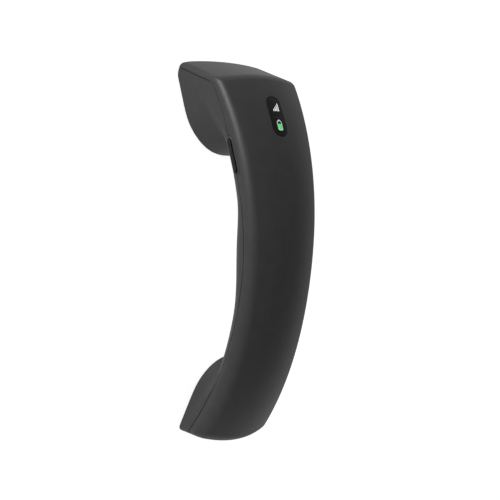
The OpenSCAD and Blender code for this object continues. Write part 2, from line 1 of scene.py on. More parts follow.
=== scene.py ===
"""Looks of a wireless telephone handset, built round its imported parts.

The shape functions work in millimetres in the handset's design frame: the origin is the corner between
the back's side edge and the ear end, x runs to the mouth end, y across the handle and z up.
place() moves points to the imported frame, in metres.
"""

import json
import math

import bpy
import numpy as np
from mathutils import Matrix, Vector

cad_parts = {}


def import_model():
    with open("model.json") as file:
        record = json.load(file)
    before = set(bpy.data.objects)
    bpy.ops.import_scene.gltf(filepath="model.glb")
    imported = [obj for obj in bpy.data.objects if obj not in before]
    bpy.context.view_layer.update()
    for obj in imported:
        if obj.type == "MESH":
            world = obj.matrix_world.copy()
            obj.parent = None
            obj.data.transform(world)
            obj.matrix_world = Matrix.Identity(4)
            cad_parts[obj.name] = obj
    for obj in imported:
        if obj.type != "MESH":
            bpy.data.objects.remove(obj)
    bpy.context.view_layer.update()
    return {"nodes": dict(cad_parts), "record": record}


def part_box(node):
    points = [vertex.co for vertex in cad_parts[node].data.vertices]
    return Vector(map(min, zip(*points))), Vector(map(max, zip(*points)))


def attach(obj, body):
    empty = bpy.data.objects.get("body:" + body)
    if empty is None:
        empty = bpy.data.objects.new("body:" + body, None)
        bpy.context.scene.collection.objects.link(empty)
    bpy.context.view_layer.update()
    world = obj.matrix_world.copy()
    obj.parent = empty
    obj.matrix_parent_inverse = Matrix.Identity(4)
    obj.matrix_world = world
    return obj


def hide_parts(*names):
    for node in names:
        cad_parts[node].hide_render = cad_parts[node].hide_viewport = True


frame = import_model()

MM = 0.001

# Reach of a ray in millimetres, past any wall of the body, and how often its span is halved
FAR, ROOT_STEPS = 90.0, 26

# Back: three tangent arcs along each side edge, radii and the slopes where they begin and end
EAR_RADIUS, MID_RADIUS, MOUTH_RADIUS = 141.5, 179.4, 168.0
EAR_ANGLE, EAR_JOIN_ANGLE, MOUTH_JOIN_ANGLE, MOUTH_ANGLE = -34.7, -0.1, 16.2, 39.8
CROWN = 5.6
EAR_EDGE_RADIUS, MOUTH_EDGE_RADIUS = 3.2, 5.2
EAR_EDGE_DROP, MOUTH_EDGE_DROP = 0.3, 0.85

# Width
EAR_WIDTH, MID_WIDTH, MOUTH_WIDTH = 53.4, 43.8, 46.6
SIDE_DRAFT = 0.02

# Ends and rims
EAR_FACE, EAR_LEAN, EAR_RIM_SLOPE = 41.8, 17.1, 14.9
MOUTH_FACE, MOUTH_LEAN, MOUTH_RIM_SLOPE = 23.6, -1.9, 27.4
END_RADIUS, EAR_SIDE_RADIUS, MOUTH_END_RADIUS = 1.6, 3.4, 3.6
EAR_SIDE_SHARE, EAR_SIDE_DEPTH = (0.7, 1.0), (1.0, 9.0)
EAR_RIM_BULGE, EAR_BULGE, MOUTH_BULGE = 1.5, 4.0, 4.2
EAR_BULGE_RISE, MOUTH_BULGE_RISE = 38.0, 18.0

# Grip side and cups
BELLY, BELLY_FALL, BELLY_FALL_SPAN = 18.5, 1.5, 40.0
BELLY_SWELL, SWELL_ANGLE, SWELL_SPAN = 2.5, 2.6, 11.7
BELLY_CROWN, BELLY_RADIUS = 5.9, 5.6
EAR_CUP, EAR_STRAIGHT, EAR_END_DRAFT, EAR_POWER = 53.7, 11.3, 0.14, 2.5
MOUTH_CUP, MOUTH_STRAIGHT, MOUTH_END_DRAFT, MOUTH_POWER = 51.5, 4.5, 0.2, 2.8
EAR_END = (EAR_CUP, EAR_STRAIGHT, EAR_END_DRAFT, EAR_POWER)
MOUTH_END = (MOUTH_CUP, MOUTH_STRAIGHT, MOUTH_END_DRAFT, MOUTH_POWER)
CUP_OVERWIDTH = 1.3
RIM_RADIUS, EAR_FILLET, MOUTH_FILLET = 2.0, 4.0, 4.2

# Share of a cup's length from where, and to where, its edge turns into the handle's
HANDLE_FROM, HANDLE_TO = 0.6, 1.05

# Parting line: its depth at the ear end, at the key, in the middle and at the mouth end
SEAM_EAR, SEAM_KEY, SEAM_MID, SEAM_MOUTH = 5.0, 8.0, 6.0, 9.5
SEAM_MID_ANGLE = 4.3
SEAM_GAP = 0.34
SEAM_CORNER = 1.6
EAR_BAND = 3.0
SEAM_LIP, SEAM_WALL = 0.12, 1.4

# Status window and volume key
WINDOW_L, WINDOW_W, WINDOW_AT = 23.0, 9.8, 23.9
WINDOW_LIP, WINDOW_WALL, LENS_LIP, LENS_WALL, LENS_INSET = 0.18, 1.3, 0.45, 1.4, 0.1
LENS_HALF, LENS_RAYS, LENS_START = (12.2, 5.2), (160, 72), -2.0
KEY_ANGLE, KEY_L, KEY_W, KEY_PROUD = -18.0, 18.0, 3.0, 0.9
KEY_GAP, KEY_RIM, FRAME_GAP, FRAME_PROUD = 0.3, 1.2, 0.12, 0.2
SLOT_LIP, SLOT_WALL, FRAME_LIP, FRAME_WALL, FRAME_HOLE_LIP = 0.12, 1.6, 0.3, 1.4, 0.2
KEY_LIP, KEY_WALL, KEY_REACH = 0.6, 3.2, 9.0
KEY_HALF, KEY_RAYS, KEY_START = (13.2, 4.2), (264, 84), 3.0

# Half the length that the side's direction at the key is measured over
HALF_STEP = 0.5

# Reach of rays from a local frame's plane to the skin
PATCH_REACH = 30.0

# The mesh is split finer this near to an opening or a hole, and a lip has this many steps
OPENING_BAND, HOLE_BAND, SPLITS = 0.9, 0.8, 2
LIP_STEPS = 4

# Cup parts, from each rim's tip
RECEIVER_AT, DISH_D, DISH_DEPTH = 27.0, 34.0, 2.2
SOUND_HOLE_D, SOUND_RING_D, SOUND_HOLES = 1.8, 9.0, 8
RIM_SIDE = 1.0
PLATE_RIM, PLATE_LAP, PLATE_LEVEL, PLATE_WALL = 1.5, 0.3, 0.05, 1.9
PLATE_FLAT, PLATE_INSET, PLATE_PASSES, PLATE_TURN = 0.004, 0.03, 4, 2.0
HOLE_LIP, PLUG_LIP, HOLE_WALL, POCKET_WALL, CONTACT_CORNER = 0.15, 0.2, 2.0, 1.5, 0.5
MESH_LEVEL = 4.35
EAR_SCREW, MOUTH_SCREW, PLUG_R = (45.0, 10.0), (24.0, 13.5), 2.6
MICROPHONE_AT, MIC_HOLE_R = 13.0, 0.7
CONTACT_AT, CONTACT_Y, CONTACT_SIZE = 35.0, 5.0, (5.2, 3.4)

# Radii of the ear plate's rings of points: over the sound holes, over the dish, over its rim
PLATE_R = np.concatenate([
    np.linspace(0, 6.4, 30),
    np.linspace(6.8, DISH_D / 2 - 1, 24),
    np.linspace(DISH_D / 2 - 0.8, DISH_D / 2 + PLATE_RIM + PLATE_LAP, 16),
])


def up_at(angle):
    """Unit vectors (x, z) at an angle in degrees from straight up, towards the mouth end."""
    a = np.radians(angle)
    return np.stack([np.sin(a), np.cos(a)], -1)


EAR_CENTRE = -EAR_RADIUS * up_at(EAR_ANGLE)
MID_CENTRE = EAR_CENTRE + (EAR_RADIUS - MID_RADIUS) * up_at(EAR_JOIN_ANGLE)
MOUTH_CENTRE = MID_CENTRE + (MID_RADIUS - MOUTH_RADIUS) * up_at(MOUTH_JOIN_ANGLE)
ARCS = ((EAR_CENTRE, EAR_RADIUS), (MID_CENTRE, MID_RADIUS), (MOUTH_CENTRE, MOUTH_RADIUS))


def edge_point(slope):
    """Point (x, z) of the back's side edge where it has a slope, in degrees."""
    s = np.asarray(slope, float)[..., None]
    ear, mid, mouth = [centre + radius * up_at(s[..., 0]) for centre, radius in ARCS]
    return np.where(s < EAR_JOIN_ANGLE, ear, np.where(s < MOUTH_JOIN_ANGLE, mid, mouth))


MOUTH_CORNER = edge_point(MOUTH_ANGLE)
EAR_TIP = -EAR_FACE * up_at(EAR_LEAN)
MOUTH_TIP = MOUTH_CORNER - MOUTH_FACE * up_at(MOUTH_LEAN)
EAR_TURN, MOUTH_TURN = math.radians(EAR_LEAN), math.radians(MOUTH_LEAN)


def below_edge(x, z):
    """Depth below the side edge, and the edge's slope above that point."""
    arcs = []
    for centre, radius in ARCS:
        dx, dz = x - centre[0], z - centre[1]
        arcs.append((radius - np.hypot(dx, dz), np.degrees(np.arctan2(dx, dz))))
    ear, mid, mouth = arcs
    in_ear, in_mouth = ear[1] < EAR_JOIN_ANGLE, mouth[1] > MOUTH_JOIN_ANGLE
    return tuple(np.where(in_ear, ear[k], np.where(in_mouth, mouth[k], mid[k])) for k in (0, 1))


def along(x):
    """-1 at the ear end's corner and 1 at the mouth end's."""
    return 2 * x / MOUTH_CORNER[0] - 1


def half_width(x):
    """Half the width at the side edges: a parabola through both ends and the middle."""
    u = along(x)
    mean = (EAR_WIDTH + MOUTH_WIDTH) / 2
    return (MID_WIDTH + u * (MOUTH_WIDTH - EAR_WIDTH) / 2 + u * u * (mean - MID_WIDTH)) / 2


def ease(low, high, v):
    """0 below low and 1 above high, with a smooth step between."""
    t = np.clip((v - low) / (high - low), 0, 1)
    return t * t * (3 - 2 * t)


def blend(a, b, t):
    return a + (b - a) * t


def meet(a, b, r):
    """Where two solids meet, with a rounded edge. Both are distances outside a surface."""
    return np.minimum(-r, np.maximum(a, b)) + np.hypot(np.maximum(a + r, 0), np.maximum(b + r, 0))


def join(a, b, r):
    """Two solids joined with a fillet."""
    return -meet(-a, -b, r)


def rim_place(x, z, tip, slope, towards):
    """Distances along a rim from its tip, and up from the rim into the body."""
    a = math.radians(slope)
    dx, dz = (x - tip[0]) * towards, z - tip[1]
    return dx * math.cos(a) + dz * math.sin(a), dz * math.cos(a) - dx * math.sin(a)


def ear_rim(x, z):
    return rim_place(x, z, EAR_TIP, EAR_RIM_SLOPE, 1)


def mouth_rim(x, z):
    return rim_place(x, z, MOUTH_TIP, MOUTH_RIM_SLOPE, -1)


def cup_end(rim, y, half, cup):
    """Distance outside a cup's wall, whose inner end is a superellipse."""
    length, straight, draft, power = cup
    half_length = length + draft * np.maximum(rim[1], 0) - straight
    half_across = half + CUP_OVERWIDTH
    a = np.maximum(rim[0] - straight, 0) / half_length
    b = y / half_across
    k = (a**power + b**power + 1e-9) ** (1 / power)
    rise_a = (a / k) ** (power - 1) / half_length
    rise_b = (b / k) ** (power - 1) / half_across
    return (k - 1) / np.sqrt(rise_a**2 + rise_b**2 + 1e-9)


def belly_at(slope):
    """Depth of the grip side below the side edge, with a swell in the hand."""
    near = 1 - ease(0, 1, np.abs(slope - SWELL_ANGLE) / SWELL_SPAN)
    return BELLY - BELLY_FALL * np.clip(slope / BELLY_FALL_SPAN, -0.5, 0.7) + BELLY_SWELL * near


def outside(p):
    """Distance outside the whole handset, for points of the design frame."""
    x, y, z = p[..., 0], np.abs(p[..., 1]), p[..., 2]
    depth, slope = below_edge(x, z)
    half = half_width(x)
    share = y / half
    bow = 1 - share * share

    # Crowned back, drafted sides and grip side
    u = np.clip((along(x) + 1) / 2, 0, 1)
    drop = blend(EAR_EDGE_DROP, MOUTH_EDGE_DROP, u)
    top = (drop - depth - (CROWN + drop) * bow) / np.hypot(1, 2 * (CROWN + drop) * y / half**2)
    side = y - half + SIDE_DRAFT * np.maximum(depth, 0)
    grip = (depth - belly_at(slope) + BELLY_CROWN * (1 - bow)) / np.hypot(1, 2 * BELLY_CROWN * y / half**2)

    # Cups, joined to the grip side with fillets and cut off at the mouth cup's rim
    er, mr = ear_rim(x, z), mouth_rim(x, z)
    ear = meet(-er[1], cup_end(er, y, half, EAR_END), RIM_RADIUS)
    mouth = meet(-mr[1], cup_end(mr, y, half, MOUTH_END), RIM_RADIUS)
    floor = -mr[1] - FAR * ease(MOUTH_CUP, MOUTH_CUP + MOUTH_FILLET, mr[0])
    lower = meet(join(join(grip, ear, EAR_FILLET), mouth, MOUTH_FILLET), floor, RIM_RADIUS)

    # All round the handle, with a softer lower edge between the cups
    past_ear = ease(EAR_CUP * HANDLE_FROM, EAR_CUP * HANDLE_TO, er[0])
    in_handle = past_ear * ease(MOUTH_CUP * HANDLE_FROM, MOUTH_CUP * HANDLE_TO, mr[0])
    edge_r = blend(EAR_EDGE_RADIUS, MOUTH_EDGE_RADIUS, u)
    tube = meet(meet(top, side, edge_r), lower, blend(RIM_RADIUS, BELLY_RADIUS, in_handle))

    # End faces, which lean and bulge
    ear_out = z * math.sin(EAR_TURN) - x * math.cos(EAR_TURN)
    ear_out = ear_out - blend(EAR_RIM_BULGE, EAR_BULGE, np.clip(er[1] / EAR_BULGE_RISE, 0, 1)) * bow
    mouth_out = (x - MOUTH_CORNER[0]) * math.cos(MOUTH_TURN) - (z - MOUTH_CORNER[1]) * math.sin(MOUTH_TURN)
    mouth_out = mouth_out - MOUTH_BULGE * np.clip(mr[1] / MOUTH_BULGE_RISE, 0, 1) * bow
    at_side = ease(*EAR_SIDE_SHARE, share) * ease(*EAR_SIDE_DEPTH, depth)
    end_r = blend(END_RADIUS, EAR_SIDE_RADIUS, at_side)
    return meet(meet(tube, ear_out, end_r), mouth_out, MOUTH_END_RADIUS)


def root(start, line, reach=FAR):
    """Point where each line from inside leaves the body, by halving."""
    low = np.zeros(np.broadcast_shapes(start.shape, line.shape)[:-1])
    high = np.full(low.shape, reach)
    for _ in range(ROOT_STEPS):
        mid = (low + high) / 2
        inside = outside(start + line * mid[..., None]) < 0
        low, high = np.where(inside, mid, low), np.where(inside, high, mid)
    return start + line * ((low + high) / 2)[..., None]


def slope_of(field, p, step=0.02):
    """Gradient of a field at points, by central differences."""
    parts = []
    for k in range(3):
        h = np.zeros(3)
        h[k] = step
        parts.append((field(p + h) - field(p - h)) / (2 * step))
    return np.stack(parts, -1)


def unit(v):
    return v / np.maximum(np.linalg.norm(v, axis=-1, keepdims=True), 1e-12)


def normals_of(p):
    return unit(slope_of(outside, p))


# Section planes and rays that the skin is drawn with
RING_COUNT = 340
SPINE_DEPTH, END_STEP, LAST_STEP = 8.5, 5.0, 0.25
EAR_TILT, MOUTH_TILT = 46.0, -40.0
STOPS, STOP_SECTIONS = (0, 0.32, 0.44, 0.58, 0.7, 1), (0, 0.12, 0.3, 0.62, 0.8, 1)
TOP_CORNER, EDGE_END = 50.0, 86.0
GRIP_SPREAD, RIM_SPREAD = 8.0, 4.0
PLAIN_CORNER, NARROWEST = 165.0, 4.0
RAY_COUNTS = (14, 24, 5, 12, 26, 14, 26)
EAR_FAN, MOUTH_FAN, LEAN_SHARE = (0.0, 0.12, 0.2, 0.5), (0.5, 0.8, 0.88, 1.0), (0.3, 0.7)
END_RINGS, END_CROWDING = 12, 1.4

# Copies of the last section that an end face is shot from: how far each has shrunk
CAP_SHRINK = np.concatenate([np.linspace(0.012, 0.2, 18), np.linspace(0.235, 0.97, 24)])


def fan_angle(u):
    """Tilt of section plane u, which crosses the cups' inner walls steeply."""
    tilt = blend(-EAR_LEAN, -MOUTH_LEAN, ease(*LEAN_SHARE, u))
    tilt = tilt + EAR_TILT * ease(*EAR_FAN[:2], u) * (1 - ease(*EAR_FAN[2:], u))
    return tilt + MOUTH_TILT * ease(*MOUTH_FAN[:2], u) * (1 - ease(*MOUTH_FAN[2:], u))


def rim_corner(foot, drop, half, cup):
    """Angle of the ray that meets the rim's edge."""
    length, straight, _, power = cup
    share = np.clip((foot - straight) / (length - straight), 0, 1)
    across = (half + CUP_OVERWIDTH) * (1 - share**power) ** (1 / power)
    corner = 180 - np.degrees(np.arctan(np.maximum(np.minimum(across, half), NARROWEST) / drop))
    return np.where(foot > length, PLAIN_CORNER, corner)


def rings(u, step):
    """Half sections of the skin, from the crown round the +y side to the underside."""
    slope = blend(EAR_ANGLE, MOUTH_ANGLE, u)
    edge = edge_point(slope)
    fan = np.radians(fan_angle(u))
    zero = np.zeros_like(u)
    down = np.stack([np.sin(fan), zero, -np.cos(fan)], -1)
    forward = np.stack([np.cos(fan), zero, np.sin(fan)], -1)
    middle = np.stack([edge[:, 0], zero, edge[:, 1]], -1) + down * SPINE_DEPTH
    middle = middle + forward * (step * (1 - 2 * u))[:, None]
    half = half_width(middle[:, 0])
    foots = []
    for rim_of in (ear_rim, mouth_rim):
        start = np.array(rim_of(middle[:, 0], middle[:, 2]))
        end = np.array(rim_of(middle[:, 0] + down[:, 0], middle[:, 2] + down[:, 2]))
        drop = -start[1] / (end[1] - start[1])
        foots.append((start[0] + drop * (end[0] - start[0]), np.maximum(drop, 1)))
    ear = rim_corner(*foots[0], half, EAR_END)
    mouth = rim_corner(*foots[1], half, MOUTH_END)
    rim = np.where(u < 0.5, ear, mouth)
    lean = np.cos(fan + np.radians(slope))
    grip = 90 + np.degrees(np.arctan((belly_at(slope) - BELLY_CROWN - SPINE_DEPTH) / lean / half))
    grip = np.minimum(grip, rim - 2 * GRIP_SPREAD)
    knots = np.stack([
        zero, zero + TOP_CORNER, zero + EDGE_END, grip - GRIP_SPREAD, grip + GRIP_SPREAD,
        rim - RIM_SPREAD, rim + RIM_SPREAD, zero + 180,
    ], -1)
    knots = np.maximum.accumulate(knots, 1)
    counts = np.cumsum((0,) + RAY_COUNTS)
    angles = np.radians([np.interp(np.arange(counts[-1] + 1), counts, row) for row in knots])
    line = np.sin(angles)[..., None] * np.array([0, 1.0, 0]) - np.cos(angles)[..., None] * down[:, None]
    return root(middle[:, None], line)


def cap_rings(last, outward):
    """Rings over an end face, shot straight out from smaller copies of the last section."""
    centre = (last[0] + last[-1]) / 2
    start = centre + (last[None] - centre) * (1 - CAP_SHRINK)[:, None, None]
    return root(start, outward)


def ring_pairs(rows, size):
    """Each point of the closed rings but the last, and the next point round its ring."""
    row = np.arange(rows - 1)[:, None] * size
    return (row + np.arange(size)).ravel(), (row + (np.arange(size) + 1) % size).ravel()


def skin():
    """The whole body as one mesh: points and triangles."""
    steps = END_STEP * np.linspace(1, 0, END_RINGS, endpoint=False)[1:] ** END_CROWDING + LAST_STEP
    first = np.concatenate([rings(np.array([0.0]), s) for s in steps[::-1]])
    end = np.concatenate([rings(np.array([1.0]), s) for s in steps])
    body = rings(np.interp(np.linspace(0, 1, RING_COUNT), STOPS, STOP_SECTIONS), END_STEP + LAST_STEP)
    ear_cap = cap_rings(first[0], np.array([-math.cos(EAR_TURN), 0, math.sin(EAR_TURN)]))
    mouth_cap = cap_rings(end[-1], np.array([math.cos(MOUTH_TURN), 0, -math.sin(MOUTH_TURN)]))
    half = np.concatenate([ear_cap[::-1], first, body, end, mouth_cap])
    other = half[:, -2:0:-1] * np.array([1, -1, 1])
    grid = np.concatenate([half, other], 1)
    rows, size = grid.shape[:2]
    points = grid.reshape(-1, 3)
    a, b = ring_pairs(rows, size)
    sides = np.concatenate([np.stack([a, a + size, b], 1), np.stack([b, a + size, b + size], 1)])
    poles = np.stack([grid[0].mean(0), grid[-1].mean(0)])
    k = np.arange(size)
    after, last = (k + 1) % size, (rows - 1) * size
    first_fan = np.stack([np.full(size, len(points)), k, after], 1)
    last_fan = np.stack([np.full(size, len(points) + 1), last + after, last + k], 1)
    return np.concatenate([points, poles]), np.concatenate([sides, first_fan, last_fan])


def refine(points, faces, chosen, times=1):
    """Splits the chosen triangles in four."""
    for _ in range(times):
        pick = chosen(points[faces].mean(1))
        cut, rest = faces[pick], faces[~pick]
        edges = np.sort(np.concatenate([cut[:, [0, 1]], cut[:, [1, 2]], cut[:, [2, 0]]]), 1)
        edges, where = np.unique(edges, axis=0, return_inverse=True)
        mids = len(points) + where.ravel().reshape(3, -1).T
        points = np.concatenate([points, points[edges].mean(1)])
        (a, b, c), (p, q, r) = cut.T, mids.T
        quarters = ((a, p, r), (p, b, q), (r, q, c), (p, q, r))
        faces = np.concatenate([rest] + [np.stack(corners, 1) for corners in quarters])
    return points, faces


def keep(points, faces, value):
    """Part of a mesh where the value at its points isn't negative, and which points are on the cut."""
    good = value >= 0
    count = good[faces].sum(1)
    cut = faces[(count == 1) | (count == 2)]
    state = good[cut]
    single = state.sum(1) == 1
    odd = np.where(single, state.argmax(1), (~state).argmax(1))
    cut = np.take_along_axis(cut, (odd[:, None] + np.arange(3)) % 3, 1)
    a, b, c = cut.T
    edges = np.sort(np.concatenate([np.stack([a, b], 1), np.stack([a, c], 1)]), 1)
    edges, where = np.unique(edges, axis=0, return_inverse=True)
    where = where.ravel()
    t = value[edges[:, 0]] / (value[edges[:, 0]] - value[edges[:, 1]])
    added = points[edges[:, 0]] + t[:, None] * (points[edges[:, 1]] - points[edges[:, 0]])
    ab, ac = len(points) + where[: len(cut)], len(points) + where[len(cut):]
    one, two = single, ~single
    kept = np.concatenate([
        faces[count == 3],
        np.stack([a[one], ab[one], ac[one]], 1),
        np.stack([ab[two], b[two], c[two]], 1),
        np.stack([ab[two], c[two], ac[two]], 1),
    ])
    kept = kept[(kept[:, 0] != kept[:, 1]) & (kept[:, 1] != kept[:, 2]) & (kept[:, 2] != kept[:, 0])]
    every = np.concatenate([points, added])
    used, faces = np.unique(kept, return_inverse=True)
    return every[used], faces.reshape(-1, 3), used >= len(points)


def border(faces, on_cut):
    """Directed edges used by one triangle only, both ends on the cut."""
    edges = np.concatenate([faces[:, [0, 1]], faces[:, [1, 2]], faces[:, [2, 0]]])
    keys = edges[:, 0].astype(np.int64) * (faces.max() + 1) + edges[:, 1]
    back = edges[:, 1].astype(np.int64) * (faces.max() + 1) + edges[:, 0]
    alone = ~np.isin(keys, back)
    return edges[alone & on_cut[edges].all(1)]


def carve(points, faces, features, raised=0.0):
    """Cuts a skin back to where every feature's field is positive.

    Each feature is (field, lip radius, wall depth). The border gets a rounded lip and a wall that runs
    inwards. Returns points, faces and normals.
    """
    fields = np.stack([field(points) - lip for field, lip, _ in features])
    points, faces, on_cut = keep(points, faces, fields.min(0))
    normals = normals_of(points)
    edges = border(faces, on_cut)
    ids, where = np.unique(edges, return_inverse=True)
    where = where.reshape(-1, 2)
    p, n = points[ids], normals[ids]
    which = np.stack([field(p) - lip for field, lip, _ in features]).argmin(0)
    lip = np.array([f[1] for f in features])[which][:, None]
    depth = np.array([f[2] for f in features])[which][:, None]
    slope = np.zeros_like(p)
    for k, (field, _, _) in enumerate(features):
        mine = which == k
        if mine.any():
            slope[mine] = slope_of(field, p[mine])
    side = unit(-(slope - (slope * n).sum(1, keepdims=True) * n))
    rows, row_normals = [], []
    for k in range(1, LIP_STEPS + 1):
        a = math.pi / 2 * k / LIP_STEPS
        rows.append(p + lip * math.sin(a) * side - lip * (1 - math.cos(a)) * n)
        row_normals.append(n * math.cos(a) + side * math.sin(a))
    rows.append(rows[-1] - depth * n)
    row_normals.append(side)
    base = len(points)
    chain = [ids] + [base + k * len(ids) + np.arange(len(ids)) for k in range(len(rows))]
    strips = []
    for upper, lower in zip(chain, chain[1:]):
        a, b = upper[where[:, 0]], upper[where[:, 1]]
        c, d = lower[where[:, 0]], lower[where[:, 1]]
        strips += [np.stack([b, a, c], 1), np.stack([b, c, d], 1)]
    points = np.concatenate([points + raised * normals] + [r + raised * n for r in rows])
    return points, np.concatenate([faces] + strips), np.concatenate([normals] + row_normals)


# Local frames in the design frame: origin and the directions of local x, y and z
def axes(origin, x, z):
    return np.array(origin, float), np.array([x, np.cross(z, x), z], float)


def at_back(slope):
    """On the middle plane at the side edge's height, z out of the back."""
    e, n = edge_point(slope), up_at(slope)
    return axes((e[0], 0, e[1]), (n[1], 0, -n[0]), (n[0], 0, n[1]))


def at_ear_rim(distance):
    """On the ear cup's rim, at a distance from its tip, z into the body."""
    a = math.radians(EAR_RIM_SLOPE)
    x = np.array([math.cos(a), 0, math.sin(a)])
    return axes(np.array([EAR_TIP[0], 0, EAR_TIP[1]]) + x * distance, x, (-math.sin(a), 0, math.cos(a)))


def at_mouth_rim(distance):
    """On the mouth cup's rim, at a distance from its tip, z into the body."""
    a = math.radians(MOUTH_RIM_SLOPE)
    x = np.array([math.cos(a), 0, -math.sin(a)])
    return axes(np.array([MOUTH_TIP[0], 0, MOUTH_TIP[1]]) - x * distance, x, (math.sin(a), 0, math.cos(a)))


def at_key():
    """At the volume key on the -y side, y into the body."""
    spot = edge_point(KEY_ANGLE) - SEAM_KEY * up_at(KEY_ANGLE)
    side = half_width(spot[0]) - SIDE_DRAFT * SEAM_KEY
    yaw = math.atan(half_width(spot[0] - HALF_STEP) - half_width(spot[0] + HALF_STEP))
    turn = (Matrix.Rotation(math.radians(KEY_ANGLE), 3, "Y") @ Matrix.Rotation(yaw, 3, "Z")
            @ Matrix.Rotation(math.atan(SIDE_DRAFT), 3, "X"))
    return np.array([spot[0], -side, spot[1]]), np.array(turn).T


def local(where, p):
    """Points of the design frame in a local frame."""
    origin, directions = where
    return (p - origin) @ directions.T


def world(where, q):
    """Points of a local frame in the design frame."""
    origin, directions = where
    return q @ directions + origin


def pill(u, v, length, width):
    """Distance outside a flat outline with two round ends."""
    return np.hypot(np.maximum(np.abs(u) - (length - width) / 2, 0), v) - width / 2


def rounded_box(u, v, length, width, r):
    """Distance outside a flat box with rounded corners."""
    a, b = np.abs(u) - length / 2 + r, np.abs(v) - width / 2 + r
    return np.hypot(np.maximum(a, 0), np.maximum(b, 0)) + np.minimum(np.maximum(a, b), 0) - r


# Places
CAD_SHIFT_NODE = "ear_mesh"
mesh_low, mesh_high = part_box(CAD_SHIFT_NODE)
mesh_centre = world(at_ear_rim(RECEIVER_AT), np.array([0, 0, MESH_LEVEL]))
SHIFT = np.array((Vector(mesh_low) + Vector(mesh_high)) / 2) / MM - mesh_centre
WINDOW = at_back(EAR_ANGLE + math.degrees(WINDOW_AT / EAR_RADIUS))
KEY = at_key()


def place(p):
    """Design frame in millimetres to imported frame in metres."""
    return (p + SHIFT) * MM


def seam_depth(slope):
    """Depth of the parting line below the side edge."""
    ear = blend(SEAM_EAR, SEAM_KEY, ease(EAR_ANGLE, KEY_ANGLE, slope))
    mid = blend(SEAM_KEY, SEAM_MID, ease(KEY_ANGLE, SEAM_MID_ANGLE, slope))
    mouth = blend(SEAM_MID, SEAM_MOUTH, ease(SEAM_MID_ANGLE, MOUTH_ANGLE, slope))
    return np.where(slope < KEY_ANGLE, ear, np.where(slope < SEAM_MID_ANGLE, mid, mouth))


def back_side(p):
    """Positive on the back cover's side of the parting line."""
    depth, slope = below_edge(p[..., 0], p[..., 2])
    band = p[..., 2] * math.sin(EAR_TURN) - p[..., 0] * math.cos(EAR_TURN) + EAR_BAND
    return meet(seam_depth(slope) - depth, band, SEAM_CORNER)


def window_outline(p):
    """Distance outside the window's outline, on the back only."""
    q = local(WINDOW, p)
    return np.maximum(pill(q[..., 0], q[..., 1], WINDOW_L, WINDOW_W), -q[..., 2])


def key_outline(p, grow):
    """Distance outside the key's outline, grown by a margin, on the key's side only."""
    q = local(KEY, p)
    flat = pill(q[..., 0], q[..., 2], KEY_L + 2 * grow, KEY_W + 2 * grow)
    return np.maximum(flat, q[..., 1] - KEY_REACH)


def round_field(where, x, y, r):
    """Distance outside a round hole of a local frame."""
    def field(p):
        q = local(where, p)
        return np.hypot(q[..., 0] - x, q[..., 1] - y) - r
    return field


def box_field(where, x, y, size, corner):
    """Distance outside a box-shaped hole of a local frame."""
    def field(p):
        q = local(where, p)
        return rounded_box(q[..., 0] - x, q[..., 1] - y, size[0], size[1], corner)
    return field


# Materials. Noise stays mostly within this range; patches and gloss are coarser than the grain
NOISE_LOW, NOISE_HIGH = 0.3, 0.7
PATCH_GRAINS, GLOSS_GRAINS, GLOSS_SPREAD = 40, 6, 0.06
GLOW_NOISE, GLOW_SPREAD, GLOW_ROUGH = 900, 0.03, 0.4


def nodes_of(name):
    m = bpy.data.materials.new(name)
    m.use_nodes = True
    tree = m.node_tree
    return m, tree, tree.nodes["Principled BSDF"]


def noise(tree, coordinate, scale, detail=3.0):
    n = tree.nodes.new("ShaderNodeTexNoise")
    n.inputs["Scale"].default_value = scale
    n.inputs["Detail"].default_value = detail
    tree.links.new(coordinate, n.inputs["Vector"])
    return n.outputs["Fac"]


def spread(tree, value, low, high):
    """Noise spread over a range of values."""
    n = tree.nodes.new("ShaderNodeMapRange")
    n.inputs["From Min"].default_value = NOISE_LOW
    n.inputs["From Max"].default_value = NOISE_HIGH
    n.inputs["To Min"].default_value = low
    n.inputs["To Max"].default_value = high
    tree.links.new(value, n.inputs["Value"])
    return n.outputs["Result"]


def finish(name, colour, rough, grain=0.15, bump=0.01, metal=0.0, mottle=0.08, coat=0.0, specular=0.5):
    """A moulded or metal surface: colour in patches, uneven gloss and a fine grain, in millimetres."""
    m, tree, shader = nodes_of(name)
    where = tree.nodes.new("ShaderNodeTexCoord").outputs["Object"]
    mix = tree.nodes.new("ShaderNodeMix")
    mix.data_type = "RGBA"
    mix.inputs["A"].default_value = (*[c * (1 - mottle) for c in colour], 1)
    mix.inputs["B"].default_value = (*[c * (1 + mottle) for c in colour], 1)
    patches = spread(tree, noise(tree, where, 1 / (PATCH_GRAINS * grain * MM)), 0, 1)
    tree.links.new(patches, mix.inputs["Factor"])
    tree.links.new(mix.outputs["Result"], shader.inputs["Base Color"])
    uneven = noise(tree, where, 1 / (GLOSS_GRAINS * grain * MM))
    gloss = spread(tree, uneven, rough * (1 - GLOSS_SPREAD), rough * (1 + GLOSS_SPREAD))
    tree.links.new(gloss, shader.inputs["Roughness"])
    relief = tree.nodes.new("ShaderNodeBump")
    relief.inputs["Distance"].default_value = bump * MM
    tree.links.new(noise(tree, where, 1 / (grain * MM), 2.0), relief.inputs["Height"])
    tree.links.new(relief.outputs["Normal"], shader.inputs["Normal"])
    shader.inputs["Metallic"].default_value = metal
    shader.inputs["Coat Weight"].default_value = coat
    shader.inputs["Specular IOR Level"].default_value = specular
    return m


